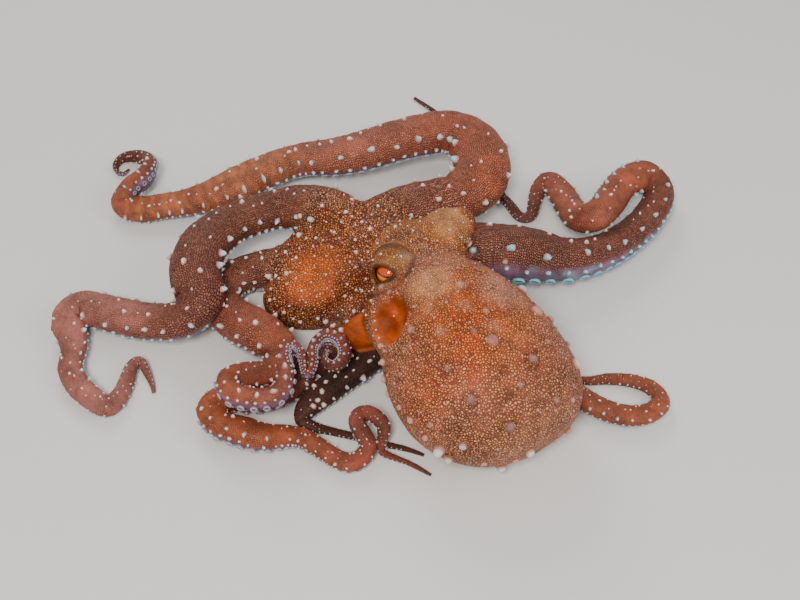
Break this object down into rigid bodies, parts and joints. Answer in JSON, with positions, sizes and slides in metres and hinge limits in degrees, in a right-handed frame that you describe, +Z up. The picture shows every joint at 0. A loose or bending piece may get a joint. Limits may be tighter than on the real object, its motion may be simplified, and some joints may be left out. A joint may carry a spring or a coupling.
{
  "type": "octopus model",
  "caption": "White-spotted octopus at rest, life size: egg-shaped mantle, raised eyes, siphon, and coiled arms with suckers below.",
  "frame": {"origin": "centre of the bounding box on the floor plane", "axes": "+X to the right of the main view, +Y away from the viewer, +Z up; the mantle points to +X and -Y"},
  "size_m": [0.3065, 0.2576, 0.0609],
  "materials": {
    "mantle": "orange-brown skin with fine pale dots and raised warts",
    "head": "orange-brown skin, paler over the eyes",
    "eye_left": "wet orange iris with a dark slit pupil",
    "eye_right": "wet orange iris with a dark slit pupil",
    "siphon": "smooth wet orange skin",
    "arm_crown": "orange-red skin with pale dots and white warts",
    "arm_left_1_root": "red-brown skin with white raised spots, pink-purple suckers below",
    "arm_left_1_upper": "red-brown skin with white raised spots, pink-purple suckers below",
    "arm_left_1_middle": "red-brown skin with white raised spots, pink-purple suckers below",
    "arm_left_1_lower": "red-brown skin with white raised spots, pink-purple suckers below",
    "arm_left_1_tip": "red-brown skin with white raised spots, pink-purple suckers below",
    "arm_left_2_root": "red-brown skin with white raised spots, pink-purple suckers below",
    "arm_left_2_upper": "red-brown skin with white raised spots, pink-purple suckers below",
    "arm_left_2_middle": "red-brown skin with white raised spots, pink-purple suckers below",
    "arm_left_2_lower": "red-brown skin with white raised spots, pink-purple suckers below",
    "arm_left_2_tip": "red-brown skin with white raised spots, pink-purple suckers below",
    "arm_left_3_root": "red-brown skin with white raised spots, pink-purple suckers below",
    "arm_left_3_middle": "red-brown skin with white raised spots, pink-purple suckers below",
    "arm_left_3_tip": "red-brown skin with white raised spots, pink-purple suckers below",
    "arm_left_4_root": "red-brown skin with white raised spots, pink-purple suckers below",
    "arm_left_4_middle": "red-brown skin with white raised spots, pink-purple suckers below",
    "arm_left_4_tip": "red-brown skin with white raised spots, pink-purple suckers below",
    "arm_right_1_root": "red-brown skin with white raised spots, pink-purple suckers below",
    "arm_right_1_upper": "red-brown skin with white raised spots, pink-purple suckers below",
    "arm_right_1_lower": "red-brown skin with white raised spots, pink-purple suckers below",
    "arm_right_1_tip": "red-brown skin with white raised spots, pink-purple suckers below",
    "arm_right_2_root": "red-brown skin with white raised spots, pink-purple suckers below",
    "arm_right_2_upper": "red-brown skin with white raised spots, pink-purple suckers below",
    "arm_right_2_middle": "red-brown skin with white raised spots, pink-purple suckers below",
    "arm_right_2_lower": "red-brown skin with white raised spots, pink-purple suckers below",
    "arm_right_2_tip": "red-brown skin with white raised spots, pink-purple suckers below",
    "arm_right_3_root": "red-brown skin with white raised spots, pink-purple suckers below",
    "arm_right_3_middle": "red-brown skin with white raised spots, pink-purple suckers below",
    "arm_right_3_tip": "red-brown skin with white raised spots, pink-purple suckers below",
    "arm_right_4_root": "red-brown skin with white raised spots, pink-purple suckers below",
    "arm_right_4_middle": "red-brown skin with white raised spots, pink-purple suckers below",
    "arm_right_4_tip": "red-brown skin with white raised spots, pink-purple suckers below"
  },
  "bodies": {
    "root": {"mantle": "mantle", "head": "head", "eye_left": "eye_left", "eye_right": "eye_right", "siphon": "siphon", "arm_crown": "arm_crown", "arm_left_1_root": "arm_left_1_root", "arm_left_1_upper": "arm_left_1_upper", "arm_left_1_middle": "arm_left_1_middle", "arm_left_1_lower": "arm_left_1_lower", "arm_left_1_tip": "arm_left_1_tip", "arm_left_2_root": "arm_left_2_root", "arm_left_2_upper": "arm_left_2_upper", "arm_left_2_middle": "arm_left_2_middle", "arm_left_2_lower": "arm_left_2_lower", "arm_left_2_tip": "arm_left_2_tip", "arm_left_3_root": "arm_left_3_root", "arm_left_3_middle": "arm_left_3_middle", "arm_left_3_tip": "arm_left_3_tip", "arm_left_4_root": "arm_left_4_root", "arm_left_4_middle": "arm_left_4_middle", "arm_left_4_tip": "arm_left_4_tip", "arm_right_1_root": "arm_right_1_root", "arm_right_1_upper": "arm_right_1_upper", "arm_right_1_lower": "arm_right_1_lower", "arm_right_1_tip": "arm_right_1_tip", "arm_right_2_root": "arm_right_2_root", "arm_right_2_upper": "arm_right_2_upper", "arm_right_2_middle": "arm_right_2_middle", "arm_right_2_lower": "arm_right_2_lower", "arm_right_2_tip": "arm_right_2_tip", "arm_right_3_root": "arm_right_3_root", "arm_right_3_middle": "arm_right_3_middle", "arm_right_3_tip": "arm_right_3_tip", "arm_right_4_root": "arm_right_4_root", "arm_right_4_middle": "arm_right_4_middle", "arm_right_4_tip": "arm_right_4_tip"}
  },
  "joints": []
}
